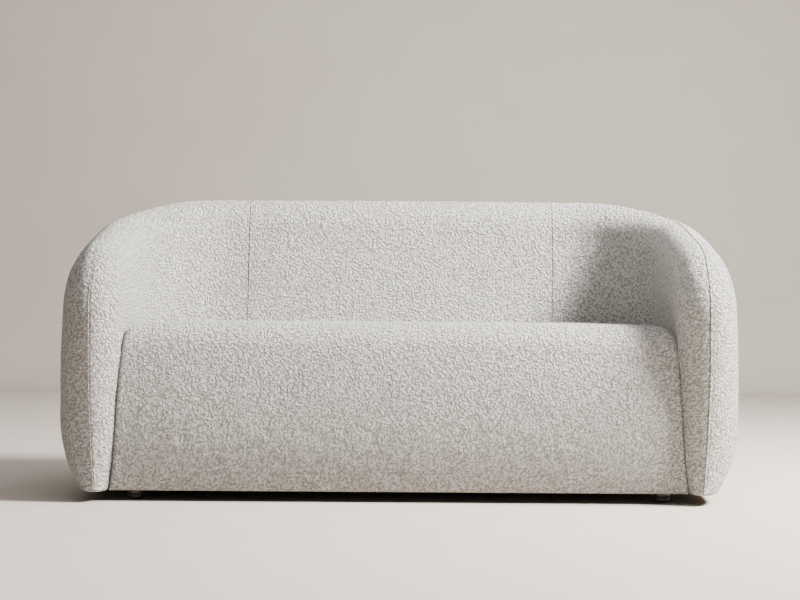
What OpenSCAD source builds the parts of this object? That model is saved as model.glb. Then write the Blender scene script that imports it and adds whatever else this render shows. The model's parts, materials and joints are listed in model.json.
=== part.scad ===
// Wrap-around two-seat sofa: a plywood and timber frame, zigzag seat springs,
// foam, a sewn fabric cover in panels, and four small turned wooden feet.
// Row frame: +X to the sitter's left as seen from the front, +Y to the back, +Z up,
// origin on the floor under the middle of the overall box. Millimetres.

/* [Overall] */
// Overall width, over the bulge of both arms
sofa_w = 1760; // [1680:10:1900]
// Overall depth, from the arm noses to the bulge of the back
sofa_d = 840; // [820:10:900]
// Height of the back's crest
sofa_h = 800; // [780:5:840]
// Height of the seat's crown
seat_h = 445; // [435:5:460]
// Height of the underside over the floor
floor_gap = 27; // [24:1:34]

/* [Wall] */
// Corner radius of the crest line, in plan
corner_r = 345; // [320:5:360]
// Half thickness of an arm from the crest line inwards
arm_in = 70; // [66:1:76]
// Half thickness from the crest line outwards at the widest bulge
arm_out = 106; // [100:1:116]
// Half thickness outwards at the arm's nose
nose_out = 88; // [84:1:94]
// Half thickness inwards at the back, at seat height
back_in = 150; // [140:2:160]
// Half thickness outwards at the back
back_out = 100; // [96:1:104]
// Fall of the arm's top towards the front, per unit of length
arm_slope = 0.24; // [0.22:0.005:0.25]
// Radius of the arm's upper front corner, seen from the side
nose_r = 150; // [140:5:155]

/* [Seat] */
// Clearance between the seat and each arm
seat_gap = 1; // [0.5:0.5:3]
// How far the seat's front lies behind the arm noses
seat_setback = 31; // [28:1:36]
// Radius of the seat's upper front edge
seat_front_r = 80; // [70:2:84]
// Radius of the bulge of the seat's front, seen from the side
seat_bulge_r = 830; // [700:10:1200]
// Radius of the seat's upper side edges
seat_side_r = 42; // [36:2:50]
// Number of zigzag springs
spring_count = 9; // [7:2:11]

/* [Layers] */
// Thickness of the fabric cover with its fibre wrap
cover_t = 4; // [3:0.5:5]
// Thickness of the foam on the inner face of the wall
inner_foam_t = 44; // [38:1:46]
// Thickness of the foam on the outer face of the wall
outer_foam_t = 12; // [10:1:14]
// Thickness of the plywood ribs
ply_t = 18; // [15:1:18]

/* [Feet] */
// Diameter at the top of a foot
foot_d = 44; // [40:1:48]
// Half the distance between the two front feet
foot_x = 669; // [660:1:672]
// Half the distance between the two rear feet
rear_foot_x = 560; // [520:10:580]

/* [Hidden] */

$fn = 48;
touch = 0.2;                        // clearance between glued or stacked pieces
y_front = -sofa_d / 2;              // the arm noses
crest_x = sofa_w / 2 - arm_out;     // crest line over the arms
crest_y = sofa_d / 2 - back_out;    // crest line over the back
straight = crest_x - corner_r;      // half length of the straight back
bend = corner_r * PI / 2;           // length of one corner
bend_y = crest_y - corner_r;        // where the corners end and the arms begin
reach = straight + bend + bend_y - y_front; // crest line from its middle to a nose
base_z = floor_gap;                 // lowest edge of the wall and the seat
frame_z = base_z + touch;           // underside of the frame
rail_z = frame_z + ply_t + touch;   // the rails and posts stand on the base ribs
mid_z = 268;                        // underside of the middle rib
top_z = sofa_h - 124;               // underside of the top rib
rail_top = 296;                     // top of the seat rails, which the springs cross
tack_z = 308;                       // lower edge of the wall's inner panels behind the seat
foam_z = rail_top + 14;             // underside of the seat foam
seat_half = crest_x - arm_in - seat_gap;
seat_front_y = y_front + seat_setback;
seat_rear_y = crest_y - back_in - seat_gap;
seat_corner_r = 252;
rail_t = 22;                        // thickness of the seat rails
rail_x = seat_half - cover_t - 1;   // outer face of the side rails
front_rail_y = y_front + 66;        // front face of the front rail
rear_rail_y = seat_rear_y - 40;     // front face of the rear rail
box_y = rear_rail_y + rail_t;       // back of the seat box
foot_inset = rail_x - 86;           // inner edge of the base ribs under the arms
post_w = 40;
panel_half = 441;                   // half width of the middle panels of the cover

// ---------- the wall's form ----------
// s runs along the crest line: 0 at the middle of the back, reach at an arm's nose.
function ease(x) = let (c = min(1, max(0, x))) c * c * (3 - 2 * c);
function angle_at(s) = min(90, max(0, (abs(s) - straight) / corner_r * 180 / PI));
function path_point(s) = let (t = abs(s), g = sign(s), a = angle_at(s))
    t < straight ? [s, crest_y]
    : t < straight + bend ? [g * (straight + corner_r * sin(a)), bend_y + corner_r * cos(a)]
    : [g * crest_x, bend_y - (t - straight - bend)];
function path_normal(s) = let (a = angle_at(s)) [-sign(s) * sin(a), -cos(a)];
function soft_step(u) = (u + sqrt(u * u + 1600)) / 2;
fall_start = straight + 183;        // where the crest starts to fall
function crest_z(s) = sofa_h - arm_slope * (soft_step(abs(s) - fall_start) - soft_step(-fall_start));
function back_share(s) = 1 - ease((abs(s) - straight) / bend);
tuck_z = 230;                       // the wall draws in below this height
function tuck(z, power) = z < tuck_z ? pow((tuck_z - z) / (tuck_z - base_z), power) : 0;
// Distance of the cover's inner face from the crest line, in plan
function half_in(s, z) = let (w = back_share(s), lean = 0.24 * max(0, z - seat_h))
    arm_in + w * (back_in - arm_in - lean) - (1 - w) * 26 * tuck(z, 2);
// Distance of the inner foam's hidden face from the crest line
function core_in(s, z) = let (
        w = back_share(s),
        arm = half_in(s, z) - cover_t - inner_foam_t + (inner_foam_t - 12) * (1 - ease((z - 150) / 150)),
        back = back_in - cover_t - inner_foam_t - 0.14 * max(0, z - tack_z))
    w * back + (1 - w) * arm;
// Distance of the cover's outer face from the crest line
function half_out(s, z) = let (
        nose = ease((reach - abs(s)) / 350),
        high = max(0, z - 300) / 210)
    nose_out + (arm_out - nose_out) * nose - back_share(s) * (arm_out - back_out)
        - 52 * tuck(z, 2.5) - 7 * high * high;
// How far inwards the wall's edge leans at the foot of the arm
function edge_lean(s, z) = 15 * ease((abs(s) - straight - bend) / 300) * pow(min(1, max(0, (350 - z) / 320)), 1.5);
// Share of the full thickness at a distance e from the wall's edge, for an edge rounding of r
function bullnose(e, r) = let (k = 1 - min(1, max(0, e / r))) sqrt(1 - k * k);

nose_zone = 260;                    // columns nearer the nose than this follow it inwards
drop_zone = 50;                     // columns nearer the nose than this reach the base
// A point of the wall, depth below the cover's face. Column a is measured from the nose,
// share is how far down the column it lies. face: "inner", "core", "outer", or for a tool "side".
function wall_point(side, depth, face, column, share) = let (
        r = nose_r - depth,
        a = column < nose_zone ? column * (1 - depth / nose_zone) : column - depth,
        low = face == "side" ? base_z - 30 : face == "outer" || column < drop_zone ? base_z : tack_z,
        b = share * (crest_z(reach - depth - a) - depth - low),
        p = (r - a) / r,
        q = (r - b) / r,
        cornered = p > 0 && q > 0,
        p2 = cornered ? p * sqrt(1 - q * q / 2) : p,
        q2 = cornered ? q * sqrt(1 - p * p / 2) : q,
        s = reach - depth - r * (1 - p2),
        z = crest_z(s) - depth - r * (1 - q2),
        e = cornered ? r * (1 - norm([p2, q2])) : min(a, b),
        full = bullnose(e, (face == "outer" ? 130 : 80) - depth),
        half = face == "outer" ? depth - half_out(s, z) : face == "core" ? core_in(s, z) : half_in(s, z) - depth,
        t = half * full + edge_lean(s, z) * (1 - full),
        m = path_point(side * s),
        n = path_normal(side * s))
    [m[0] + n[0] * t, m[1] + n[1] * t, z];

edge_steps = [0, 2.5, 10, 22, 38, 60, 88]; // spacing that follows a rounded edge
bend_count = 9;
bend_columns = [for (k = [0 : bend_count]) reach - straight - bend + bend * k / bend_count];
panel_a = reach - panel_half;       // the seam between an arm's panel and the back's
arm_columns = concat(edge_steps, [130, 190, 260, 330], [for (a = bend_columns) if (a < panel_a - 20) a], [panel_a]);
back_columns = [for (k = [-3 : 3]) panel_half * k / 3];
row_shares = concat([for (e = edge_steps) e / 640], [0.22, 0.34, 0.5, 0.66, 0.8, 0.92, 1]);

// A closed layer of the wall between two faces, from a grid of [side, column] pairs.
module layer(columns, near, near_face, far, far_face) {
    rows = len(row_shares);
    n = len(columns);
    last = rows - 1;
    grid = [for (f = [[near, near_face], [far, far_face]]) for (c = columns) for (k = row_shares)
        wall_point(c[0], f[0], f[1], c[1], k)];
    function id(f, i, k) = f * n * rows + i * rows + k;
    // two triangles over the corners a, b, c, d
    function quad(a, b, c, d) = [[a, b, c], [a, c, d]];
    skins = [for (i = [0 : n - 2]) for (k = [0 : rows - 2]) each concat(
        quad(id(0, i, k), id(0, i, k + 1), id(0, i + 1, k + 1), id(0, i + 1, k)),
        quad(id(1, i, k), id(1, i + 1, k), id(1, i + 1, k + 1), id(1, i, k + 1)))];
    rims = [for (i = [0 : n - 2]) each concat(
        quad(id(0, i, 0), id(0, i + 1, 0), id(1, i + 1, 0), id(1, i, 0)),
        quad(id(0, i, last), id(1, i, last), id(1, i + 1, last), id(0, i + 1, last)))];
    ends = [for (k = [0 : rows - 2]) each concat(
        quad(id(0, 0, k), id(1, 0, k), id(1, 0, k + 1), id(0, 0, k + 1)),
        quad(id(0, n - 1, k), id(0, n - 1, k + 1), id(1, n - 1, k + 1), id(1, n - 1, k)))];
    faces = concat(skins, rims, ends);
    flip = (columns[0][0] < 0) == (near_face != "outer");
    polyhedron(grid, flip ? [for (f = faces) [f[2], f[1], f[0]]] : faces, convexity = 8);
}
// A right arm's columns run from the nose to the back, the back's from -X to +X.
function arm_panel(side) = [for (a = arm_columns) [side, a]];
function back_panel() = [for (s = back_columns) [s < 0 ? -1 : 1, reach - abs(s)]];

// ---------- shapes that repeat ----------
// The plan enclosed by the crest line moved outwards by off
module plan(off) {
    r = corner_r + off;
    for (g = [-1, 1]) translate([g * straight, bend_y]) circle(r, $fn = 96);
    translate([-straight, bend_y]) square([2 * straight, r]);
    translate([-straight - r, y_front]) square([2 * (straight + r), bend_y - y_front]);
}
joint_y = bend_y + 20;              // where the back ribs meet the arm ribs
arm_rib_y = y_front + 97;           // front edge of the arm ribs
// Plywood rib of the back, around a seat box of half width half and depth y
module rib_back(off, half, y, z) translate([0, 0, z]) linear_extrude(ply_t) difference() {
    intersection() {
        plan(off);
        translate([-1000, joint_y + touch]) square([2000, 1000]);
    }
    translate([-half, -100]) square([2 * half, y + 100]);
}
module rib_arm(side, off, half, z) translate([side < 0 ? -crest_x - off : half, arm_rib_y, z])
    cube([crest_x + off - half, joint_y - arm_rib_y, ply_t]);
// An upright at s, from z1 to z2, reaching off_in inwards and off_out outwards
module post(s, z1, z2, off_in, off_out) {
    m = path_point(s);
    translate([m[0], m[1], z1]) rotate(-sign(s) * angle_at(s))
        translate([-post_w / 2, -off_in, 0]) cube([post_w, off_in + off_out, z2 - z1]);
}
module both_sides() for (g = [0, 1]) mirror([g, 0, 0]) children();
feet = [[-foot_x, -325], [foot_x, -325], [-rear_foot_x, 255], [rear_foot_x, 255]];
module each_foot() for (f = feet) translate([f[0], f[1], 0]) children();
module stud_holes() each_foot() translate([0, 0, frame_z - 1]) cylinder(h = ply_t + 2, r = 5.2);

// ---------- frame ----------
module base_rib_back() color("burlywood") difference() {
    rib_back(26, foot_inset, rear_rail_y - 4, frame_z);
    stud_holes();
}
module base_rib_arm(side) color("burlywood") difference() {
    union() {
        rib_arm(side, 26, foot_inset, frame_z);
        translate([side < 0 ? -rail_x : foot_inset, front_rail_y, frame_z])
            cube([rail_x - foot_inset, arm_rib_y - front_rail_y + 1, ply_t]);
        translate([side < 0 ? -crest_x - 9 : crest_x - 26, arm_rib_y - 35, frame_z]) cube([35, 36, ply_t]);
    }
    stud_holes();
}
module mid_rib_back() color("burlywood") rib_back(64, rail_x + touch, box_y + touch, mid_z);
module mid_rib_arm(side) color("burlywood") rib_arm(side, 64, rail_x + touch, mid_z);
module curved_rib(off_in, off_out, z, y1, y2) translate([0, 0, z]) linear_extrude(ply_t) intersection() {
    difference() {
        plan(off_out);
        plan(-off_in);
    }
    translate([-1000, y1]) square([2000, y2 - y1]);
}
module top_rib_back() color("burlywood") curved_rib(30, 44, top_z, bend_y + 200, 1000);
arm_rail_drop = 106;                // from the crest to the underside of an arm's top rail
corner_rib_z = crest_z(straight + bend) - arm_rail_drop;
module corner_ribs() color("burlywood") curved_rib(18, 40, corner_rib_z, bend_y + 7, bend_y + 160);
module stack(stations) for (s = stations) {
    post(s, rail_z, mid_z - touch, 18, 24);
    post(s, mid_z + ply_t + touch, top_z - touch, 18, 30);
}
corner_s = straight + bend * 0.62;
module back_posts() color("tan") stack([-straight, -150, 150, straight]);
module corner_posts() color("tan") stack([-corner_s, corner_s]);
rear_s = straight + bend + 30;
module arm_rear_posts() color("tan") both_sides() {
    post(rear_s, rail_z, mid_z - touch, 18, 24);
    post(rear_s, mid_z + ply_t + touch, crest_z(rear_s) - arm_rail_drop - 5, 18, 30);
}
arm_rail_y = y_front + 90;          // front end of the arms' top rails
module arm_front_posts() color("tan") both_sides() translate([crest_x - 18, y_front + 74, rail_z])
    cube([32, 34, crest_z(reach - 90) - arm_rail_drop - touch - rail_z]);
rail_post_ys = [arm_rib_y + 2, -180, joint_y - 44];
module rail_posts() color("tan") both_sides() difference() {
    for (y = rail_post_ys) translate([rail_x + touch, y, rail_z]) cube([post_w, post_w, mid_z - touch - rail_z]);
    bolt_holes();
}
module arm_top_rail(side) {
    tilt = atan(arm_slope);
    color("burlywood") mirror([side < 0 ? 1 : 0, 0, 0])
        translate([crest_x - 17, arm_rail_y, crest_z(reach - 90) - arm_rail_drop]) rotate([tilt, 0, 0])
            cube([57, (bend_y + 4 - arm_rail_y) / cos(tilt), ply_t]);
}
module arm_liner(side) {
    y1 = y_front + 92;
    y2 = bend_y;
    z1 = mid_z + ply_t + touch;
    color("peru") mirror([side < 0 ? 1 : 0, 0, 0]) translate([crest_x - 21.3, 0, 0]) rotate([90, 0, 90])
        linear_extrude(3) polygon([[y1, z1], [y2, z1],
            [y2, crest_z(reach - y2 + y_front) - 100], [y1, crest_z(reach - 92) - 110]]);
}
module seat_rail(y) translate([-rail_x, y, rail_z]) cube([2 * rail_x, rail_t, rail_top - rail_z]);
module seat_front_rail() color("burlywood") seat_rail(front_rail_y);
module seat_rear_rail() color("burlywood") seat_rail(rear_rail_y);
module seat_side_rail(side) color("burlywood") mirror([side < 0 ? 1 : 0, 0, 0]) difference() {
    translate([rail_x - rail_t, front_rail_y + rail_t + touch, rail_z])
        cube([rail_t, rear_rail_y - front_rail_y - rail_t - 2 * touch, rail_top - rail_z]);
    bolt_holes();
}
module seat_stretchers() color("tan") for (x = [-340, 0, 340])
    translate([x - rail_t / 2, front_rail_y + rail_t + touch, rail_z + 20])
        cube([rail_t, rear_rail_y - front_rail_y - rail_t - 2 * touch, 120]);
module corner_blocks() color("tan") both_sides() for (g = [0, 1])
    translate([rail_x - rail_t - touch, g * (rear_rail_y + front_rail_y + rail_t), rail_z]) mirror([0, g, 0])
        translate([0, front_rail_y + rail_t + touch, 0]) linear_extrude(60)
            polygon([[0, 0], [-60, 0], [0, 60]]);
bolt_z = 200;
module each_bolt(x) for (y = rail_post_ys) translate([x, y + post_w / 2, bolt_z]) rotate([0, 90, 0]) children();
module bolt_holes() each_bolt(rail_x - rail_t - 5) cylinder(h = rail_t + post_w + 10, r = 4.3);
module frame_bolts() color("silver") both_sides() each_bolt(rail_x - rail_t - 4.2) {
    cylinder(h = 4, r = 9);
    cylinder(h = rail_t + post_w + 15, r = 4);
}
module frame_nuts() color("gray") both_sides() each_bolt(rail_x + post_w + 2 * touch) difference() {
    cylinder(h = 6.5, r = 7.5, $fn = 6);
    translate([0, 0, -1]) cylinder(h = 9, r = 4.1);
}

// ---------- suspension ----------
spring_wire = 3.8;
spring_half = 24;                   // half width of the zigzag
spring_y1 = front_rail_y + rail_t / 2;
spring_y2 = rear_rail_y + rail_t / 2;
turns = 21;
turn_r = (spring_y2 - spring_y1) / turns / 2;
bar = spring_half - turn_r;         // half length of a straight bar between two turns
// Points of turn k as [x, y, heading]
function turn_points(k) = let (g = k % 2 == 0 ? 1 : -1) [for (a = [-90 : 45 : 90])
    [g * (bar + turn_r * cos(a)), (2 * k + 1) * turn_r + turn_r * sin(a), g > 0 ? a + 90 : 90 - a]];
spring_line = concat([[-bar, 0, 0]], [for (k = [0 : turns - 1]) each turn_points(k)],
    [[-bar, 2 * turns * turn_r, 180]]);
function beside(p, d) = [p[0] + d * sin(p[2]), p[1] - d * cos(p[2])];
module spring() linear_extrude(spring_wire, center = true) polygon(concat(
    [for (p = spring_line) beside(p, spring_wire / 2)],
    [for (i = [len(spring_line) - 1 : -1 : 0]) beside(spring_line[i], -spring_wire / 2)]));
spring_span = 1120;                 // from the first spring to the last
module each_spring() for (i = [0 : spring_count - 1])
    translate([spring_span * (i / (spring_count - 1) - 0.5), 0, 0]) children();
module seat_springs() color("dimgray") each_spring() translate([0, spring_y1, rail_top + 4]) spring();
module spring_clips() color("silver") each_spring() for (y = [spring_y1 - 6, spring_y2 - 6])
    translate([-9, y, rail_top + touch]) difference() {
        cube([18, 12, 8.4]);
        translate([-1, 3.8, 1.6]) cube([20, 9, 4.6]);
    }
module spring_tie_wires() color("dimgray") for (y = [-180, 0])
    translate([-rail_x + 60, y, rail_top + 8.2]) rotate([0, 90, 0]) cylinder(h = 2 * rail_x - 120, r = 1.8);
module spring_insulator() color("whitesmoke") intersection() {
    seat_block(cover_t + 2, 0);
    translate([-rail_x, front_rail_y, foam_z - 3.2]) cube([2 * rail_x, 1000, 3]);
}
module back_webbing() color("dimgray") {
    low = [crest_y - 98, mid_z + ply_t + 1];
    high = [crest_y - 32, top_z - 1];
    for (x = [-360, -225, -75, 75, 225, 360]) translate([x - 25, 0, 0]) rotate([90, 0, 90]) linear_extrude(50)
        polygon([low, high, high + [1.6, 0], low + [1.6, 0]]);
    for (f = [0.3, 0.6, 0.85]) translate([-420, low[0] + f * (high[0] - low[0]) + 12, low[1] + f * (high[1] - low[1])])
        cube([840, 1.6, 50]);
}

// ---------- foam ----------
// The seat's form, depth below the cover's face. Its front is wider than the rest by flare.
bulge_z = 160;                      // height where the seat's front stands out most
module seat_block(depth, flare) {
    x = seat_half - depth;
    y2 = seat_rear_y - depth;
    low = base_z - depth;
    top = seat_h - depth;
    intersection() {
        rotate([90, 0, 90]) translate([0, 0, -x - flare]) linear_extrude(2 * (x + flare))
            polygon(seat_side_view(y2, low, top, depth));
        rotate([90, 0, 0]) translate([0, 0, -y2]) linear_extrude(y2 - seat_front_y)
            polygon(seat_front_view(x, flare, low, top, seat_side_r - depth));
        translate([0, 0, low]) linear_extrude(top - low) seat_plan(x + flare, x, y2, depth);
    }
}
// The same, with its front filling the room between the rounded arm noses
module seat_form(depth) difference() {
    seat_block(depth, 40);
    for (g = [-1, 1]) layer([for (a = concat(edge_steps, [130, 190])) [g, a]],
        -seat_gap - depth, "side", 60 - depth, "side");
}
function arc(centre, r, from, to, count) =
    [for (k = [0 : count]) let (a = from + (to - from) * k / count) centre + r * [-cos(a), sin(a)]];
// The seat's outline from the side: the bulge of the front, then the upper edge
function seat_side_view(y2, low, top, depth) = let (
        bulge_y = seat_front_y + seat_bulge_r,
        arm = seat_bulge_r - seat_front_r,
        edge_z = seat_h - seat_front_r,
        turn = asin((edge_z - bulge_z) / arm),
        edge_y = bulge_y - arm * cos(turn),
        foot = asin((low - bulge_z) / (seat_bulge_r - depth)))
    concat(arc([bulge_y, bulge_z], seat_bulge_r - depth, foot, turn, 8),
        arc([edge_y, edge_z], seat_front_r - depth, turn + 6, 90, 10), [[y2, top], [y2, low]]);
// The seat's outline from the front, wider by flare at the foot
function seat_front_view(x, flare, low, top, r) = let (
        side = concat([[flare, low], [flare / 2, tuck_z], [0.4 * flare, 330], [0.1 * flare, top - r - 16]],
            [for (a = [0 : 9 : 90]) [r * (cos(a) - 1), top - r * (1 - sin(a))]]))
    concat([for (p = side) [x + p[0], p[1]]], [for (i = [len(side) - 1 : -1 : 0]) [-x - side[i][0], side[i][1]]]);
module seat_plan(wide, x, y2, depth) {
    r = seat_corner_r - depth;
    y1 = seat_front_y;
    translate([-wide, y1]) square([2 * wide, 100]);
    translate([-x, y1]) square([2 * x, y2 - r - y1]);
    translate([-x + r, y1]) square([2 * (x - r), y2 - y1]);
    for (g = [-1, 1]) translate([g * (x - r), y2 - r]) circle(r, $fn = 96);
}
module seat_foam() color("lightyellow") intersection() {
    seat_block(cover_t + touch, 0);
    translate([-1000, seat_front_y, foam_z]) cube([2000, 1000, 300]);
}
module seat_front_foam() color("lightyellow") intersection() {
    seat_form(cover_t + touch);
    translate([-1000, seat_front_y, base_z]) cube([2000, front_rail_y - touch - seat_front_y, foam_z - touch - base_z]);
}
module inner_foam(columns) color("lightyellow") layer(columns, cover_t, "inner", cover_t + inner_foam_t, "core");
module outer_foam(columns) color("lightyellow")
    layer(columns, cover_t, "outer", cover_t + outer_foam_t, "outer");
liner_depth = cover_t + outer_foam_t + touch;
module outer_liner(columns) color("peru") layer(columns, liner_depth, "outer", liner_depth + 3, "outer");

// ---------- cover ----------
module seat_cover() color("ivory") difference() {
    seat_form(0);
    seat_form(cover_t);
    translate([-1000, front_rail_y + 2, 0]) cube([2000, 1000, foam_z - 12]);
}
module inner_cover(columns) color("ivory") layer(columns, 0, "inner", cover_t, "inner");
module outer_cover(columns) color("ivory") layer(columns, 0, "outer", cover_t, "outer");
module dust_cover() color("black") difference() {
    translate([0, 0, base_z - 1.4]) linear_extrude(1.2) intersection() {
        plan(16);
        translate([-1000, y_front + 46]) square([2000, 1000]);
    }
    each_foot() translate([0, 0, base_z - 3]) cylinder(h = 5, r = 9);
}
staple_pitch = 120;
module staple() translate([-5, -0.6, base_z - 2.2]) cube([10, 1.2, 0.6]);
module staples() color("silver") {
    for (x = [-600 : staple_pitch : 600]) translate([x, y_front + 56, 0]) staple();
    for (x = [-360 : staple_pitch : 360]) translate([x, crest_y, 0]) staple();
    both_sides() for (y = [y_front + 130 : staple_pitch : 0]) translate([crest_x, y, 0]) rotate(90) staple();
}

// ---------- feet ----------
pad_t = 2;
foot_h = base_z - 1.6 - pad_t;
module foot_at(i) color("black") translate([feet[i][0], feet[i][1], pad_t]) difference() {
    rotate_extrude() union() {
        square([foot_d / 2 - 6, foot_h]);
        translate([0, 5]) square([foot_d / 2 - 1, foot_h - 9]);
        translate([foot_d / 2 - 6, 5]) circle(5);
        translate([0, foot_h - 5]) square([foot_d / 2, 5]);
    }
    translate([0, 0, 6]) cylinder(h = 40, r = 4);
}
module foot_studs() color("silver") each_foot() translate([0, 0, pad_t + 6]) cylinder(h = 34, r = 4);
module tee_nuts() color("gray") each_foot() translate([0, 0, frame_z]) difference() {
    union() {
        cylinder(h = ply_t, r = 5.1);
        translate([0, 0, ply_t + touch]) cylinder(h = 1.5, r = 10);
    }
    translate([0, 0, -3]) cylinder(h = ply_t + 9, r = 4.1);
}
module glide_pads() color("dimgray") each_foot() cylinder(h = pad_t, r = foot_d / 2 - 7);

base_rib_back();
base_rib_arm(-1);  // base_rib_left
base_rib_arm(1);  // base_rib_right
mid_rib_back();
mid_rib_arm(-1);  // mid_rib_left
mid_rib_arm(1);  // mid_rib_right
top_rib_back();
corner_ribs();
back_posts();
corner_posts();
arm_front_posts();
arm_rear_posts();
rail_posts();
arm_top_rail(-1);  // arm_top_rail_left
arm_top_rail(1);  // arm_top_rail_right
arm_liner(-1);  // arm_liner_left
arm_liner(1);  // arm_liner_right
seat_front_rail();
seat_rear_rail();
seat_side_rail(-1);  // seat_side_rail_left
seat_side_rail(1);  // seat_side_rail_right
seat_stretchers();
corner_blocks();
frame_bolts();
frame_nuts();
seat_springs();
spring_clips();
spring_tie_wires();
spring_insulator();
back_webbing();
seat_foam();
seat_front_foam();
inner_foam(back_panel());  // inner_back_foam
inner_foam(arm_panel(-1));  // inner_arm_foam_left
inner_foam(arm_panel(1));  // inner_arm_foam_right
outer_foam(back_panel());  // outer_back_foam
outer_foam(arm_panel(-1));  // outer_arm_foam_left
outer_foam(arm_panel(1));  // outer_arm_foam_right
outer_liner(back_panel());  // outer_back_liner
outer_liner(arm_panel(-1));  // outer_arm_liner_left
outer_liner(arm_panel(1));  // outer_arm_liner_right
seat_cover();
inner_cover(back_panel());  // inner_back_cover
inner_cover(arm_panel(-1));  // inner_arm_cover_left
inner_cover(arm_panel(1));  // inner_arm_cover_right
outer_cover(back_panel());  // outer_back_cover
outer_cover(arm_panel(-1));  // outer_arm_cover_left
outer_cover(arm_panel(1));  // outer_arm_cover_right
dust_cover();
staples();
foot_at(0);  // foot_front_left
foot_at(1);  // foot_front_right
foot_at(2);  // foot_rear_left
foot_at(3);  // foot_rear_right
foot_studs();
tee_nuts();
glide_pads();
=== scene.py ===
"""The visual model of the barrel-shaped sofa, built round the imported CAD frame."""

import json
import math

import bmesh
import bpy
import numpy as np
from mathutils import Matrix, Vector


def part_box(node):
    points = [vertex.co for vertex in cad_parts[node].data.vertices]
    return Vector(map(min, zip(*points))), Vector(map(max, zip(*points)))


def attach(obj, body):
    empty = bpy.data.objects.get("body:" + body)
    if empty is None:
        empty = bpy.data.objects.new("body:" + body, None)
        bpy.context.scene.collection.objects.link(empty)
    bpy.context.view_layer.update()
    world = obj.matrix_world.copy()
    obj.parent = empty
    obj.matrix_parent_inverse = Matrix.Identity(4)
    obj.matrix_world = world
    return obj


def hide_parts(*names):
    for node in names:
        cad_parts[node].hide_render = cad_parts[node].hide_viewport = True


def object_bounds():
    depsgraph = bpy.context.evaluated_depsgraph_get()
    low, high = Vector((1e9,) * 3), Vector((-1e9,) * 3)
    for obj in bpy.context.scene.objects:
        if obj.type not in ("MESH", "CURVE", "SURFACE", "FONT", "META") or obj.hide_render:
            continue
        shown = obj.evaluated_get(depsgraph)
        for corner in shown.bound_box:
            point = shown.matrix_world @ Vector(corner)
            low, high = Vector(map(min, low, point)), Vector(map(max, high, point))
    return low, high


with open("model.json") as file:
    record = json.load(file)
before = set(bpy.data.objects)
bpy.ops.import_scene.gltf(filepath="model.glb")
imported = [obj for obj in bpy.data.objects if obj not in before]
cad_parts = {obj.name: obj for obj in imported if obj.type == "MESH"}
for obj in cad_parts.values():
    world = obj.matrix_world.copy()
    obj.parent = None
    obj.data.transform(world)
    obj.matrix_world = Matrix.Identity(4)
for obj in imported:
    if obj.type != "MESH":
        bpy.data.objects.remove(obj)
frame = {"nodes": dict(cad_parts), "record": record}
CAD_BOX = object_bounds()
LOW, HIGH = (np.array([float(v) for v in corner]) for corner in CAD_BOX)

# ---------- sizes, in metres; apart from the fall of the arms they are those of part.scad ----------
WIDTH, DEPTH, HEIGHT = HIGH - LOW
FRONT_Y = LOW[1]                                    # the arm noses
SEAT_Z = float(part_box("seat_cover")[1][2])
SEAT_FRONT_Y = float(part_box("seat_cover")[0][1])
BASE_Z = float(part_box("outer_back_cover")[0][2])
ARM_IN, ARM_OUT, NOSE_OUT = 0.070, 0.106, 0.088     # half thicknesses of the arms
BACK_IN, BACK_OUT = 0.150, 0.100                    # half thicknesses of the back
CORNER_R = 0.345                                    # corner radius of the crest line, in plan
NOSE_R = 0.150                                      # corner radius of the arm's nose, from the side
INNER_R, OUTER_R = 0.080, 0.130                     # roundings of the wall's edge
SLOPE = 0.242                                       # fall of the arm's top, 0.240 in part.scad
FALL_S = 0.190                                      # where the fall starts, past the straight back
FALL_SOFT = 0.070                                   # length over which it sets in
CREST_X = WIDTH / 2 - ARM_OUT
CREST_Y = DEPTH / 2 - BACK_OUT
STRAIGHT = CREST_X - CORNER_R
BEND = CORNER_R * math.pi / 2
BEND_Y = CREST_Y - CORNER_R
REACH = STRAIGHT + BEND + BEND_Y - FRONT_Y          # crest line from its middle to a nose
TUCK_Z = 0.230                                      # the wall draws in below this height
SEAM_S = 0.441                                      # where the middle panels end
HIDDEN_Z = 0.340                                    # the inner panels go on down behind the seat to here
COVER_T = 0.0036                                    # thickness of the cover

STEP = 0.0042             # mesh spacing of the covers
SIM_STEP = 0.015                                    # mesh spacing in the cloth simulation
SIM_FRAMES = 20
EVENED = 5                                          # how many times small wrinkles are evened out
LIFT_CAP = 0.0016                                   # how far the simulation may move the cover


# ---------- the wall's form ----------
def ease(x):
    c = np.clip(x, 0.0, 1.0)
    return c * c * (3 - 2 * c)


def path(s):
    """The crest line in plan: x, y, the inward normal and the direction towards the nose."""
    side = np.where(s < 0, -1.0, 1.0)
    run = np.abs(s)
    angle = np.clip((run - STRAIGHT) / CORNER_R, 0, math.pi / 2)
    x = side * (np.minimum(run, STRAIGHT) + CORNER_R * np.sin(angle))
    y = BEND_Y + CORNER_R * np.cos(angle) - np.maximum(run - STRAIGHT - BEND, 0)
    zero = np.zeros_like(x)
    inward = np.stack([-side * np.sin(angle), -np.cos(angle), zero], -1)
    forward = np.stack([side * np.cos(angle), -np.sin(angle), zero], -1)
    return x, y, inward, forward


def crest_z(s):
    """Height of the crest. Its fall sets in more softly than in the CAD model, and is at most 3 mm lower."""
    def soft(u):
        return (u + np.sqrt(u * u + FALL_SOFT**2)) / 2

    start = STRAIGHT + FALL_S
    return HEIGHT - SLOPE * (soft(np.abs(s) - start) - soft(-start))


def back_share(s):
    return 1 - ease((np.abs(s) - STRAIGHT) / BEND)


def tuck(z, power):
    return np.clip((TUCK_Z - z) / (TUCK_Z - BASE_Z), 0, None) ** power


def half_in(s, z):
    """Distance of the inner face from the crest line, in plan."""
    w = back_share(s)
    lean = 0.24 * np.maximum(0, z - SEAT_Z)
    return ARM_IN + w * (BACK_IN - ARM_IN - lean) - (1 - w) * 0.026 * tuck(z, 2)


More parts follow.
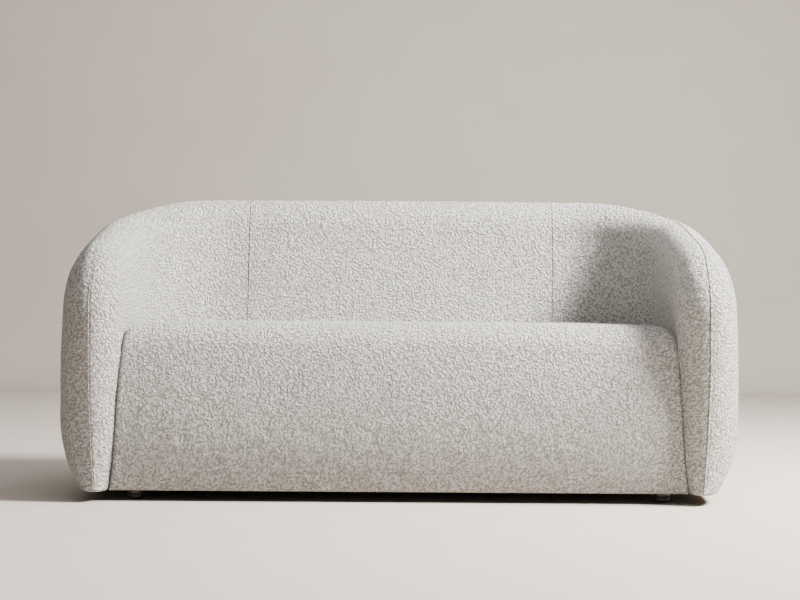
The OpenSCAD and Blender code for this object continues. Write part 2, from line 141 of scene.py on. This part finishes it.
def half_out(s, z):
    """Distance of the outer face from the crest line, in plan."""
    nose = ease((REACH - np.abs(s)) / 0.35)
    high = np.maximum(0, z - 0.3) / 0.21
    full = NOSE_OUT + (ARM_OUT - NOSE_OUT) * nose - back_share(s) * (ARM_OUT - BACK_OUT)
    return full - 0.052 * tuck(z, 2.5) - 0.007 * high * high


def edge_lean(s, z):
    """How far inwards the wall's edge leans at the foot of the arm."""
    return 0.015 * ease((np.abs(s) - STRAIGHT - BEND) / 0.3) * np.clip((0.35 - z) / 0.32, 0, 1) ** 1.5


def roll(d, r):
    """How far in from its edge a surface has come, after rolling a distance d over a rounding of radius r."""
    quarter = r * math.pi / 2
    return np.where(d < quarter, r * (1 - np.cos(np.minimum(d / r, math.pi / 2))), d + r - quarter)


def squircle(p, q):
    """Maps a square corner to a round one."""
    return p * np.sqrt(1 - q * q / 2), q * np.sqrt(1 - p * p / 2)


def gauss(d, centre, width):
    return np.exp(-(((d - centre) / width) ** 2))


# ---------- noise ----------
def noise(point, size, seed):
    """Smooth seeded noise from -1 to 1 in space, with bumps about size metres across."""
    cell = np.floor(point / size).astype(np.int64)
    part = point / size - cell
    blend = part * part * (3 - 2 * part)
    total = np.zeros(point.shape[:-1])
    for corner in np.ndindex(2, 2, 2):
        at = (cell + np.array(corner)).astype(np.uint64)
        mixed = at[..., 0] * 73856093 ^ at[..., 1] * 19349663 ^ at[..., 2] * 83492791
        mixed = mixed ^ np.uint64(seed * 2654435761)
        mixed = (mixed ^ (mixed >> np.uint64(13))) * np.uint64(1274126177) & np.uint64(0xFFFFFFFF)
        mixed = (mixed ^ (mixed >> np.uint64(16))) * np.uint64(2246822519) & np.uint64(0xFFFFFFFF)
        share = np.prod(np.where(np.array(corner), blend, 1 - blend), axis=-1)
        total += share * (mixed.astype(float) / 2147483647.5 - 1)
    return total


def pile(point):
    """Relief of the looped pile that is coarse enough for the mesh."""
    relief = 0.00045 * noise(point, 0.0085, 1)
    relief = relief + 0.0004 * noise(point, 0.017, 2)
    return relief + 0.0005 * noise(point, 0.055, 3)


# ---------- panels ----------
def spaced(length, step, start=False, end=False, fine=0.0011, band=0.012):
    """Places from 0 to length a step apart, closer together at an end that has a seam."""
    places = [0.0]
    while places[-1] < length:
        here = places[-1]
        room = min(here if start else length, length - here if end else length)
        places.append(here + min(step, fine + 0.3 * max(0.0, room - band)))
    return np.array(places) * length / places[-1]


class Panel:
    """One panel of the cover: a grid over a surface, then relief on it, then a closed shell."""

    def __init__(self, name, place, columns, rows, replaces, hem):
        self.name, self.place, self.replaces, self.hem = name, place, replaces, hem
        self.columns, self.rows = columns, rows
        self.coarse_columns = self.thinned(columns)
        self.coarse_rows = self.thinned(rows)
        self.lift = None

    @staticmethod
    def thinned(places):
        count = int(round((places[-1] - places[0]) / SIM_STEP)) + 1
        return np.linspace(places[0], places[-1], count)

    def lifted(self):
        """The simulation's lift at every point of the fine grid."""
        if self.lift is None:
            return 0.0
        half = np.array([np.interp(self.columns, self.coarse_columns, line) for line in self.lift.T]).T
        return np.array([np.interp(self.rows, self.coarse_rows, line) for line in half])

    def surface(self):
        point, normal, relief = self.place(self.columns, self.rows)
        point = point + normal * (relief + self.lifted() + pile(point))[..., None]
        return with_hem(point, normal) if self.hem else (point, normal)


HEM_R = 0.007                                       # the covers turn under round this radius


def with_hem(point, normal):
    """Adds rows that turn the cover under at its lower edge."""
    inward = -normal[:, -1] * np.array([1, 1, 0])
    inward /= np.linalg.norm(inward, axis=-1, keepdims=True)
    last = point[:, -1]
    points, normals = [point], [normal]
    turns = [(HEM_R * (1 - math.cos(t)), HEM_R * math.sin(t), t) for t in np.radians([18, 36, 54, 72, 90])]
    turns += [(HEM_R + d, HEM_R, math.pi / 2) for d in (0.006, 0.014)]
    for across, down, t in turns:
        points.append((last + inward * across - np.array([0, 0, down]))[:, None])
        normals.append((-inward * math.cos(t) - np.array([0, 0, math.sin(t)]))[:, None])
    return np.concatenate(points, 1), np.concatenate(normals, 1)


def sewn(d):
    """Relief beside a plain seam: a narrow groove between two soft lips."""
    return 0.0008 * gauss(d, 0.005, 0.002) - 0.0018 * gauss(d, 0, 0.0017)


def wall_place(side, inner):
    """Places a panel of the wall. A row is a distance over the cover from the crest, and a column the same
    from the arm's nose, or on the back (side 0) the place along the crest line."""
    edge = INNER_R if inner else OUTER_R
    reach_down = edge * math.pi / 2

    def place(columns, rows):
        a = roll(columns, edge)[:, None] if side else (REACH - np.abs(columns))[:, None]
        sign = side if side else np.where(columns < 0, -1.0, 1.0)[:, None]
        low = BASE_Z + HEM_R
        if inner:
            low = low + (HIDDEN_Z - low) * ease((a - 0.13) / 0.08)
        height = crest_z(REACH - a) - low
        below = np.maximum(rows - reach_down, 0)[None, :] / (rows[-1] - reach_down)
        b = roll(np.minimum(rows, reach_down), edge)[None, :] + below * (height - edge)
        a = a + 0 * b
        p, q = (NOSE_R - a) / NOSE_R, (NOSE_R - b) / NOSE_R
        cornered = (p > 0) & (q > 0)
        p1, q1 = squircle(np.where(cornered, p, 0), np.where(cornered, q, 0))
        size = np.maximum(np.hypot(p1, q1), 1e-9)
        s = REACH - NOSE_R * (1 - np.where(cornered, p1, p))
        z = crest_z(s) - NOSE_R * (1 - np.where(cornered, q1, q))
        e = np.where(cornered, NOSE_R * (1 - size), np.minimum(a, b))
        k = 1 - np.clip(e / edge, 0, 1)
        flat = np.sqrt(1 - k * k)
        half = half_in(s, z) if inner else half_out(s, z)
        x, y, inward, forward = path(sign * s)
        out = inward if inner else -inward
        lean = edge_lean(s, z) * (1 - flat)
        point = np.stack([x, y, z], -1) + out * (half * flat)[..., None] + inward * lean[..., None]
        ahead = np.where(cornered, p1 / size, (a < b) * 1.0)[..., None]
        above = np.where(cornered, q1 / size, (a >= b) * 1.0)[..., None]
        rim = forward * ahead + np.array([0, 0, 1.0]) * above
        normal = out * flat[..., None] + rim * (half * k / edge)[..., None]
        normal /= np.linalg.norm(normal, axis=-1, keepdims=True)
        crest = edge * np.arccos(k)
        ridge = -0.0012 * gauss(crest, 0, 0.003) if inner else 0.0016 * gauss(crest, 0.0015, 0.0024)
        return point, normal, ridge + sewn(np.abs(s - SEAM_S))

    return place


def wall_panel(side, inner):
    edge = INNER_R if inner else OUTER_R
    foot_z = HIDDEN_Z if inner and not side else BASE_Z
    rows = spaced(edge * math.pi / 2 + HEIGHT - edge - foot_z, STEP, start=True)
    if side:
        length = REACH - SEAM_S
        columns = spaced(length - edge + edge * math.pi / 2, STEP, start=True, end=True)
    else:
        columns = spaced(2 * SEAM_S, STEP, start=True, end=True) - SEAM_S
    layer = "inner" if inner else "outer"
    where = {-1: "arm_cover_left", 0: "back_cover", 1: "arm_cover_right"}[side]
    node = f"{layer}_{where}"
    return Panel("soft_" + node, wall_place(side, inner), columns, rows, [node], hem=side != 0 or not inner)


# ---------- the seat's form ----------
SEAT_GAP = 0.001                                    # between the seat and the wall
SEAT_REAR_Y = CREST_Y - BACK_IN - SEAT_GAP
SEAT_X = CREST_X - ARM_IN - SEAT_GAP
SEAT_FRONT_R = 0.080                                # rounding of the upper front edge
BULGE_R = 0.830                                     # bulge of the front, from the side
BULGE_Z = 0.160                                     # height where the front stands out most
SEAT_SIDE_R = 0.042                                 # rounding of the upper side edges
SEAT_LOW_R = 0.011                                  # the same, beside the front
SEAT_REAR_R = 0.012                                 # rounding of the upper rear edge
CROWN = 0.0045                                      # how far the filling domes the seat
SEAT_CORNER = 0.240                                 # size of the rear corners, in plan
SEAT_RETURN = 0.013                                 # how far the cover goes on down beside the wall
EDGE_Z = SEAT_Z - SEAT_FRONT_R
TURN = math.asin((EDGE_Z - BULGE_Z) / (BULGE_R - SEAT_FRONT_R))  # of the front, where the rounding starts
EDGE_Y = SEAT_FRONT_Y + BULGE_R - (BULGE_R - SEAT_FRONT_R) * math.cos(TURN)
SEAT_TOP = SEAT_REAR_Y - EDGE_Y                     # flat length of the top
SEAT_ARC = SEAT_FRONT_R * (math.pi / 2 - TURN)      # length of the rounding
LOWEST = math.asin((BASE_Z + HEM_R - BULGE_Z) / BULGE_R)
SEAT_DROP = BULGE_R * (TURN - LOWEST)               # length of the front below the rounding


def wall_half(y, z):
    """Distance from an arm's crest line to its inner face, in plan, below the nose's upper corner."""
    s = REACH - (y - FRONT_Y)
    k = 1 - np.clip((y - FRONT_Y) / INNER_R, 0, 1)
    flat = np.sqrt(1 - k * k)
    return half_in(s, z) * flat + edge_lean(s, z) * (1 - flat)


def rear_corner(angle):
    """Distance from the middle of the seat's rear corner to the wall, in a direction from +X."""
    s = np.linspace(STRAIGHT - 0.1, REACH - 0.2, 400)
    x, y, inward, _ = path(s)
    face = np.stack([x, y], -1) + inward[:, :2] * (half_in(s, SEAT_Z) + SEAT_GAP)[:, None]
    face -= np.array([SEAT_X - SEAT_CORNER, SEAT_REAR_Y - SEAT_CORNER])
    turn = np.arctan2(face[:, 1], face[:, 0])
    return np.interp(-angle, -turn, np.hypot(face[:, 0], face[:, 1]))


def seat_line(b):
    """The seat's section from its rear edge over the front edge and down: y, z and the turn from level."""
    flat = np.minimum(b, SEAT_TOP)
    edge = np.clip((b - SEAT_TOP) / SEAT_FRONT_R, 0, math.pi / 2 - TURN)
    turn = math.pi / 2 - TURN + np.maximum(b - SEAT_TOP - SEAT_ARC, 0) / BULGE_R
    front = b > SEAT_TOP + SEAT_ARC
    top_y = SEAT_REAR_Y - flat - SEAT_FRONT_R * np.sin(edge)
    top_z = SEAT_Z - SEAT_FRONT_R * (1 - np.cos(edge))
    y = np.where(front, SEAT_FRONT_Y + BULGE_R * (1 - np.sin(turn)), top_y)
    z = np.where(front, BULGE_Z + BULGE_R * np.cos(turn), top_z)
    return y, z, np.where(front, turn, edge)


def seat_place(columns, rows):
    """Places the seat's points. A column is a distance over the cover from its middle, and a row from its
    rear edge."""
    side = np.where(columns < 0, -1.0, 1.0)[:, None]
    to_side = columns[-1] - SEAT_RETURN - np.abs(columns)[:, None] + 0 * rows[None, :]
    to_rear = rows[None, :] + 0 * columns[:, None]
    beyond = np.maximum(0, np.maximum(-to_side, -to_rear))
    b = roll(np.maximum(to_rear, 0), SEAT_REAR_R)
    a = roll(np.maximum(to_side, 0), SEAT_SIDE_R)
    p, q = (SEAT_CORNER - a) / SEAT_CORNER, (SEAT_CORNER - b) / SEAT_CORNER
    cornered = (p > 0) & (q > 0)
    p1, q1 = squircle(np.where(cornered, p, 0), np.where(cornered, q, 0))
    size = np.maximum(np.hypot(p1, q1), 1e-9)
    ahead = np.where(cornered, p1 / size, (a <= b) * 1.0)
    behind = np.where(cornered, q1 / size, (a > b) * 1.0)
    beside = 1 - ease(behind / 0.5)
    narrower = (SEAT_SIDE_R - SEAT_LOW_R) * ease((b - SEAT_TOP) / SEAT_ARC)
    radius = SEAT_REAR_R + (SEAT_SIDE_R - SEAT_REAR_R) * beside - narrower * beside
    far = np.where(cornered, rear_corner(np.arctan2(q1, p1)), SEAT_CORNER)
    y, z, turn = seat_line(b)
    y = np.where(cornered, SEAT_REAR_Y - SEAT_CORNER + far * q1, y)
    e = np.where(cornered, far * (1 - size), np.minimum(a, b))
    k = 1 - np.clip(e / radius, 0, 1)
    flat = np.sqrt(1 - k * k)
    zero = np.zeros_like(z)
    up = np.stack([zero, -np.sin(turn), np.cos(turn)], -1)
    point = np.stack([zero, y, z], -1) - up * (radius * (1 - flat) + beyond)[..., None]
    half = CREST_X - SEAT_GAP - wall_half(point[..., 1], np.minimum(point[..., 2], SEAT_Z))
    point[..., 0] = side * np.where(cornered, SEAT_X - SEAT_CORNER + far * p1, half * (1 - a / SEAT_X))
    rim = np.stack([side * ahead, behind, zero], -1)
    normal = up * flat[..., None] + rim * k[..., None]
    normal /= np.linalg.norm(normal, axis=-1, keepdims=True)
    crown = CROWN * ease(e / 0.16) * ease((z - BASE_Z) / 0.12)
    return point, normal, crown


def seat_panel():
    half = SEAT_X + (math.pi / 2 - 1) * SEAT_SIDE_R + SEAT_RETURN
    columns = spaced(2 * half, STEP, start=True, end=True, fine=0.002) - half
    length = SEAT_TOP + SEAT_ARC + SEAT_DROP + (math.pi / 2 - 1) * SEAT_REAR_R
    rows = spaced(length + SEAT_RETURN, STEP) - SEAT_RETURN
    return Panel("soft_seat_cover", seat_place, columns, rows, ["seat_cover"], hem=True)


# ---------- cloth ----------
def plain_mesh(name, verts, faces):
    mesh = bpy.data.meshes.new(name)
    mesh.from_pydata(verts.tolist(), [], faces)
    mesh.update()
    piece = bpy.data.objects.new(name, mesh)
    bpy.context.scene.collection.objects.link(piece)
    return piece


def grid_faces(n, m):
    index = np.arange(n * m).reshape(n, m)
    quads = np.stack([index[:-1, :-1], index[1:, :-1], index[1:, 1:], index[:-1, 1:]], -1)
    return quads.reshape(-1, 4).tolist()


def settle(panels):
    """Lets every panel settle as cloth under its filling's pressure. It is held along its seams, and the foam
    behind it keeps the rest near its place."""
    scene = bpy.context.scene
    cloths = []
    for panel in panels:
        point, normal, _ = panel.place(panel.coarse_columns, panel.coarse_rows)
        n, m = point.shape[:2]
        faces = grid_faces(n, m)
        i, j = n // 2, m // 2
        across = np.cross(point[i + 1, j] - point[i, j], point[i, j + 1] - point[i, j])
        if across @ normal[i, j] < 0:
            faces = [face[::-1] for face in faces]
        cloth = plain_mesh("cloth_" + panel.name, point.reshape(-1, 3), faces)
        held = cloth.vertex_groups.new(name="held")
        tight = cloth.vertex_groups.new(name="tight")
        for i, j in np.ndindex(n, m):
            rim = min(i, j, n - 1 - i, m - 1 - j)
            held.add([i * m + j], 1.0 if rim == 0 else 0.25, "REPLACE")
            tight.add([i * m + j], min(1.0, rim / 8), "REPLACE")
        modifier = cloth.modifiers.new("settle", "CLOTH")
        modifier.point_cache.frame_start, modifier.point_cache.frame_end = 1, SIM_FRAMES
        settings = modifier.settings
        settings.quality = 6
        settings.mass = 0.4
        settings.tension_stiffness = settings.compression_stiffness = 40
        settings.shear_stiffness = 12
        settings.bending_stiffness = 0.6
        settings.vertex_group_mass = held.name
        settings.pin_stiffness = 0.6
        settings.vertex_group_shrink = tight.name
        settings.shrink_min, settings.shrink_max = -0.014, -0.006
        settings.use_pressure = True
        settings.uniform_pressure_force = 1.2
        settings.effector_weights.gravity = 0
        cloths.append((panel, cloth, point, normal))
    for step in range(1, SIM_FRAMES + 1):
        scene.frame_set(step)
    graph = bpy.context.evaluated_depsgraph_get()
    for panel, cloth, point, normal in cloths:
        moved = np.empty(point.size)
        cloth.evaluated_get(graph).data.vertices.foreach_get("co", moved)
        rise = ((moved.reshape(point.shape) - point) * normal).sum(-1)
        for _ in range(EVENED):
            rise[1:-1, 1:-1] = (rise[:-2, 1:-1] + rise[2:, 1:-1] + rise[1:-1, :-2] + rise[1:-1, 2:]) / 4
        panel.lift = LIFT_CAP * np.tanh(np.maximum(rise, 0) / LIFT_CAP)
        mesh = cloth.data
        bpy.data.objects.remove(cloth)
        bpy.data.meshes.remove(mesh)
    scene.frame_set(1)


# ---------- shells ----------
def rim_faces(loop, inner_loop):
    """Triangles between a closed loop of front vertices and a thinner loop of back vertices, given as
    (position in the front loop, vertex)."""
    faces = []
    total = len(loop)
    for k, (start, back) in enumerate(inner_loop):
        stop, next_back = inner_loop[(k + 1) % len(inner_loop)]
        stop = stop if stop > start else stop + total
        middle = (start + stop) // 2
        faces += [(loop[f % total], loop[(f + 1) % total], back) for f in range(start, middle)]
        faces.append((loop[middle % total], next_back, back))
        faces += [(loop[f % total], loop[(f + 1) % total], next_back) for f in range(middle, stop)]
    return faces


def thickened(name, point, normal, thickness, stride):
    """A grid of cloth as a closed solid. Its hidden face keeps one grid line in stride."""
    n, m = point.shape[:2]
    keep_i = sorted({*range(0, n, stride), n - 1})
    keep_j = sorted({*range(0, m, stride), m - 1})
    hidden = (point - thickness * normal)[np.ix_(keep_i, keep_j)]
    verts = np.concatenate([point.reshape(-1, 3), hidden.reshape(-1, 3)])
    back = [[n * m + v for v in reversed(face)] for face in grid_faces(len(keep_i), len(keep_j))]
    around = [(i, 0) for i in range(n - 1)] + [(n - 1, j) for j in range(m - 1)]
    around += [(i, m - 1) for i in range(n - 1, 0, -1)] + [(0, j) for j in range(m - 1, 0, -1)]
    row_of = {i: k for k, i in enumerate(keep_i)}
    column_of = {j: k for k, j in enumerate(keep_j)}
    inner_loop = [(place, n * m + row_of[i] * len(keep_j) + column_of[j])
                  for place, (i, j) in enumerate(around) if i in row_of and j in column_of]
    rim = rim_faces([i * m + j for i, j in around], inner_loop)
    piece = plain_mesh(name, verts, grid_faces(n, m) + back + rim)
    work = bmesh.new()
    work.from_mesh(piece.data)
    bmesh.ops.recalc_face_normals(work, faces=work.faces)
    work.to_mesh(piece.data)
    work.free()
    piece.data.shade_smooth()
    piece.data.set_sharp_from_angle(angle=math.radians(50))
    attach(piece, "root")
    return piece


def shell(panel):
    """The panel's cover, filled tight with foam."""
    piece = thickened(panel.name, *panel.surface(), COVER_T, 6)
    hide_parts(*panel.replaces)
    return piece


def dust_sheet():
    """The thin black cloth stapled under the body. It hangs a little between its staples."""
    low, high = (np.array([float(v) for v in corner]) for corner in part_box("dust_cover"))
    y = np.linspace(low[1], high[1], 80)
    edge = high[0] - STRAIGHT
    half = STRAIGHT + np.sqrt(np.maximum(edge**2 - np.maximum(y - BEND_Y, 0) ** 2, 0))
    x = np.linspace(-1, 1, 141)[:, None] * half
    point = np.stack([x, y + 0 * x, 0 * x + low[2] + 0.0002], -1)
    rim = np.minimum(half - np.abs(x), np.minimum(y - low[1], high[1] - y))
    point[..., 2] -= 0.0012 * (1 + noise(point, 0.11, 7)) * ease((rim - 0.05) / 0.15)
    piece = thickened("soft_dust_cover", point, np.array([0, 0, -1.0]) + 0 * point, 0.0008, 4)
    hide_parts("dust_cover")
    dress(piece, "dust_cloth")


# ---------- materials ----------
class Paint:
    """A material's node tree, written a node at a time."""

    def __init__(self, name, **surface):
        self.material = bpy.data.materials.new(name)
        self.material.use_nodes = True
        self.tree = self.material.node_tree
        self.surface = self.tree.nodes["Principled BSDF"]
        for socket, value in surface.items():
            self.surface.inputs[socket.replace("_", " ")].default_value = value
        self.place = self.add("ShaderNodeTexCoord").outputs["Object"]

    def add(self, kind, inputs=(), **settings):
        node = self.tree.nodes.new(kind)
        for name, value in settings.items():
            setattr(node, name, value)
        for socket, value in dict(inputs).items():
            if isinstance(value, bpy.types.NodeSocket):
                self.tree.links.new(value, node.inputs[socket])
            else:
                node.inputs[socket].default_value = value
        return node

    def math(self, operation, a, b):
        return self.add("ShaderNodeMath", {0: a, 1: b}, operation=operation).outputs[0]

    def stretched(self, scale, place=None):
        """The place scaled along each axis."""
        return self.add("ShaderNodeMapping", {"Vector": place or self.place, "Scale": scale}).outputs[0]

    def clouds(self, scale, place=None, detail=3.0, roughness=0.55, distortion=0.0):
        return self.add("ShaderNodeTexNoise", {
            "Vector": place or self.place, "Scale": scale, "Detail": detail,
            "Roughness": roughness, "Distortion": distortion}).outputs["Fac"]

    def cells(self, scale, place=None, smoothness=0.4):
        return self.add("ShaderNodeTexVoronoi", {
            "Vector": place or self.place, "Scale": scale, "Smoothness": smoothness},
            feature="SMOOTH_F1").outputs["Distance"]

    def ramp(self, share, *stops):
        node = self.add("ShaderNodeValToRGB", {"Fac": share})
        elements = node.color_ramp.elements
        while len(elements) < len(stops):
            elements.new(1.0)
        for element, (place, color) in zip(elements, stops):
            element.position = place
            element.color = (*color, 1.0)
        return node.outputs["Color"]

    def levels(self, share, low, high, to_low=0.0, to_high=1.0):
        """share between low and high, spread from to_low to to_high."""
        return self.add("ShaderNodeMapRange", {
            "Value": share, "From Min": low, "From Max": high,
            "To Min": to_low, "To Max": to_high}).outputs[0]

    def color(self, value):
        self.tree.links.new(value, self.surface.inputs["Base Color"])

    def roughness(self, value):
        self.tree.links.new(value, self.surface.inputs["Roughness"])

    def relief(self, height, distance):
        bump = self.add("ShaderNodeBump", {"Height": height, "Distance": distance, "Strength": 1.0})
        self.tree.links.new(bump.outputs[0], self.surface.inputs["Normal"])


def boucle():
    """Cream looped pile: short curled loops about 6 mm long, with painted shade darker between them."""
    paint = Paint("boucle", Roughness=0.95, Sheen_Weight=0.12, Sheen_Roughness=0.45)
    sway = paint.add("ShaderNodeTexNoise", {"Vector": paint.place, "Scale": 100.0, "Detail": 2.0})
    sway = sway.outputs["Color"]
    push = paint.add("ShaderNodeVectorMath", {0: sway, 1: (0.5, 0.5, 0.5)}, operation="SUBTRACT").outputs[0]
    push = paint.add("ShaderNodeVectorMath", {0: push, "Scale": 0.011}, operation="SCALE").outputs[0]
    bent = paint.add("ShaderNodeVectorMath", {0: paint.place, 1: push}, operation="ADD").outputs[0]
    loops = paint.levels(paint.cells(160.0, bent), 0.1, 0.7, 1.0, 0.0)
    curls = paint.clouds(300.0, bent, detail=2.0, distortion=0.4)
    yarn = paint.clouds(700.0, bent, detail=2.0)
    height = paint.math("ADD", paint.math("MULTIPLY", loops, 0.55), paint.math("MULTIPLY", curls, 0.6))
    height = paint.math("ADD", height, paint.math("MULTIPLY", yarn, 0.10))
    # painted shade: the colour is darker where the pile is low, between the loops, standing in for the shade
    # in those hollows
    painted_crevice_shade = paint.ramp(height, (0.36, (0.42, 0.39, 0.345)), (0.6, (0.82, 0.795, 0.75)),
                       (0.88, (0.94, 0.925, 0.89)))
    patches = paint.levels(paint.clouds(7.0, detail=4.0), 0.3, 0.7, 0.955, 1.0)
    tinted = paint.add("ShaderNodeVectorMath", {0: painted_crevice_shade, "Scale": patches}, operation="SCALE").outputs[0]
    paint.color(tinted)
    paint.relief(height, 0.024)
    return paint.material


def grained(name, dark, light, grain, size, depth, roughness, metallic=0.0):
    """Wood, board, metal or cloth with streaks: grain is the streaks' scale along each axis."""
    paint = Paint(name, Metallic=metallic)
    along = paint.stretched(grain)
    streaks = paint.clouds(size, along, detail=5.0, distortion=0.4)
    specks = paint.clouds(size * 9, along, detail=2.0)
    mixed = paint.math("ADD", paint.math("MULTIPLY", streaks, 0.75), paint.math("MULTIPLY", specks, 0.25))
    paint.color(paint.ramp(mixed, (0.3, dark), (0.7, light)))
    paint.roughness(paint.levels(specks, 0.3, 0.7, roughness - 0.08, roughness + 0.08))
    paint.relief(mixed, depth)
    return paint.material


def woven(name, dark, light, pitch, depth):
    """Plain weave with threads pitch metres apart."""
    paint = Paint(name, Roughness=0.9, Sheen_Weight=0.1)
    turns = 2 * math.pi / pitch
    part = paint.add("ShaderNodeSeparateXYZ", {0: paint.stretched((turns, turns, turns))}).outputs
    waves = [paint.math("SINE", part[axis], 0.0) for axis in range(3)]
    weave = paint.math("MULTIPLY", paint.math("ADD", waves[0], waves[1]), waves[2])
    fuzz = paint.clouds(2 / pitch, detail=4.0)
    height = paint.math("ADD", paint.levels(weave, -2.0, 2.0), paint.math("MULTIPLY", fuzz, 0.5))
    paint.color(paint.ramp(height, (0.4, dark), (1.1, light)))
    paint.relief(height, depth)
    return paint.material


def foamed():
    """Cut open-cell foam."""
    paint = Paint("foam", Roughness=0.95)
    cells = paint.cells(450.0)
    paint.color(paint.ramp(cells, (0.1, (0.46, 0.40, 0.24)), (0.5, (0.84, 0.78, 0.58))))
    paint.relief(cells, 0.0015)
    return paint.material


def stained_foot():
    """Black stained, turned wood: satin, with fine rings from the lathe."""
    paint = Paint("black_wood", Coat_Weight=0.25, Coat_Roughness=0.3)
    grain = paint.clouds(60.0, paint.stretched((1.0, 1.0, 9.0)), detail=5.0, distortion=0.6)
    scuffs = paint.clouds(140.0, detail=4.0)
    paint.color(paint.ramp(grain, (0.35, (0.010, 0.009, 0.008)), (0.75, (0.030, 0.026, 0.022))))
    paint.roughness(paint.levels(scuffs, 0.3, 0.75, 0.34, 0.5))
    paint.relief(grain, 0.0004)
    return paint.material


MATERIALS = {
    "boucle": boucle(),
    "plywood": grained("plywood", (0.42, 0.27, 0.13), (0.66, 0.48, 0.28), (1, 1, 14), 9.0, 0.0006, 0.6),
    "timber": grained("timber", (0.46, 0.29, 0.14), (0.70, 0.50, 0.28), (9, 9, 1), 8.0, 0.0008, 0.62),
    "fibreboard": grained("fibreboard", (0.22, 0.14, 0.08), (0.36, 0.24, 0.14), (1, 1, 1), 60.0,
                          0.0004, 0.85),
    "steel": grained("steel", (0.42, 0.43, 0.44), (0.62, 0.63, 0.63), (1, 1, 6), 70.0, 0.0001, 0.36, 1.0),
    "spring_steel": grained("spring_steel", (0.05, 0.05, 0.055), (0.12, 0.12, 0.13), (1, 1, 1), 90.0,
                            0.0001, 0.42, 0.9),
    "webbing": woven("webbing", (0.012, 0.011, 0.010), (0.07, 0.06, 0.055), 0.0028, 0.0006),
    "nonwoven": woven("nonwoven", (0.52, 0.52, 0.50), (0.82, 0.82, 0.80), 0.0022, 0.0003),
    "foam": foamed(),
    "dust_cloth": woven("dust_cloth", (0.006, 0.006, 0.006), (0.030, 0.030, 0.031), 0.0020, 0.0003),
    "black_wood": stained_foot(),
    "felt": grained("felt", (0.05, 0.045, 0.04), (0.13, 0.12, 0.11), (1, 1, 1), 260.0, 0.0008, 0.95),
}


def dress(piece, slot):
    piece.data.materials.clear()
    piece.data.materials.append(MATERIALS[slot])


# ---------- the covers ----------
PANELS = [wall_panel(side, inner) for inner in (True, False) for side in (-1, 0, 1)] + [seat_panel()]
settle(PANELS)
for made in PANELS:
    dress(shell(made), "boucle")

dust_sheet()
for part in frame["record"]["subparts"]:
    dress(frame["nodes"][part["node"]], part["material_slot"])


# ---------- the feet ----------
def foot(node, segments=72):
    """A turned puck with a softened rim, in place of the CAD foot."""
    low, high = (np.array([float(v) for v in corner]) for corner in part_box(node))
    r = (high[0] - low[0]) / 2
    tall = high[2] - low[2]
    profile = [(0, 0), (r - 0.0045, 0), (r - 0.0026, 0.0006), (r - 0.0014, 0.0020), (r - 0.0010, 0.0042),
               (r - 0.0007, 0.0100), (r - 0.0011, 0.0106), (r - 0.0006, 0.0112), (r, tall - 0.0030),
               (r - 0.0003, tall - 0.0012), (r - 0.0012, tall), (0, tall)]
    turn = 2 * math.pi * np.arange(segments) / segments
    verts = np.array([(p * math.cos(t), p * math.sin(t), low[2] + z) for p, z in profile[1:-1] for t in turn])
    verts[:, :2] += (low[:2] + high[:2]) / 2
    rings = len(profile) - 2
    faces = [(k * segments + i, k * segments + (i + 1) % segments,
              (k + 1) * segments + (i + 1) % segments, (k + 1) * segments + i)
             for k in range(rings - 1) for i in range(segments)]
    faces += [tuple(range(segments))[::-1], tuple(range((rings - 1) * segments, rings * segments))]
    piece = plain_mesh("turned_" + node, verts, faces)
    piece.data.shade_smooth()
    piece.data.set_sharp_from_angle(angle=math.radians(40))
    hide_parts(node)
    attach(piece, "root")
    dress(piece, "black_wood")


for end in ("front_left", "front_right", "rear_left", "rear_right"):
    foot("foot_" + end)


# ---------- stage, light and camera ----------
def backdrop():
    """A pale floor that curves up into a wall."""
    room, back, bend = 11.0, 4.95, 0.5
    turn = np.radians(np.arange(0, 91, 6))
    line = [(-9.0, 0.0), *zip(back - bend + bend * np.sin(turn), bend - bend * np.cos(turn)), (back, 6.0)]
    verts = np.array([(x, y, z) for y, z in line for x in (-room, room)])
    sweep = plain_mesh("backdrop", verts, grid_faces(len(line), 2))
    sweep.data.shade_smooth()
    paint = Paint("backdrop_paint", Roughness=0.9)
    mottle = paint.clouds(3.0, detail=4.0)
    paint.color(paint.ramp(mottle, (0.2, (0.46, 0.405, 0.35)), (0.8, (0.49, 0.435, 0.38))))
    sweep.data.materials.append(paint.material)


def lamp(name, place, target, size, power, color):
    light = bpy.data.lights.new(name, "AREA")
    light.shape = "RECTANGLE"
    light.size, light.size_y = size
    light.energy = power
    light.color = color
    holder = bpy.data.objects.new(name, light)
    bpy.context.scene.collection.objects.link(holder)
    holder.location = place
    aim = np.array(target) - np.array(place)
    holder.rotation_euler = (math.atan2(math.hypot(aim[0], aim[1]), -aim[2]), 0, math.atan2(-aim[0], aim[1]))


backdrop()
lamp("key", (3.3, -0.85, 3.1), (0.0, -0.1, 0.4), (1.1, 1.1), 1150, (1.0, 0.985, 0.965))
lamp("fill", (-2.6, -3.6, 2.4), (0.0, 0.0, 0.4), (3.0, 2.4), 4, (0.97, 0.98, 1.0))
lamp("rear", (-2.0, 3.4, 2.8), (0.0, 0.0, 0.4), (2.0, 2.0), 25, (1.0, 0.99, 0.98))
lamp("top", (0.3, -0.2, 3.4), (0.0, 0.0, 0.4), (3.0, 2.0), 75, (1.0, 1.0, 1.0))
world = bpy.data.worlds.new("room")
world.use_nodes = True
world.node_tree.nodes["Background"].inputs["Color"].default_value = (1.0, 0.975, 0.95, 1.0)
world.node_tree.nodes["Background"].inputs["Strength"].default_value = 0.22
bpy.context.scene.world = world

camera = bpy.data.cameras.new("camera")
camera.lens = 72.36
camera.sensor_width = 36.0
viewer = bpy.data.objects.new("camera", camera)
bpy.context.scene.collection.objects.link(viewer)
viewer.location = (0.0, FRONT_Y - 4.0, 0.51)
viewer.rotation_euler = (math.radians(90), math.radians(-0.4), 0)
bpy.context.scene.camera = viewer
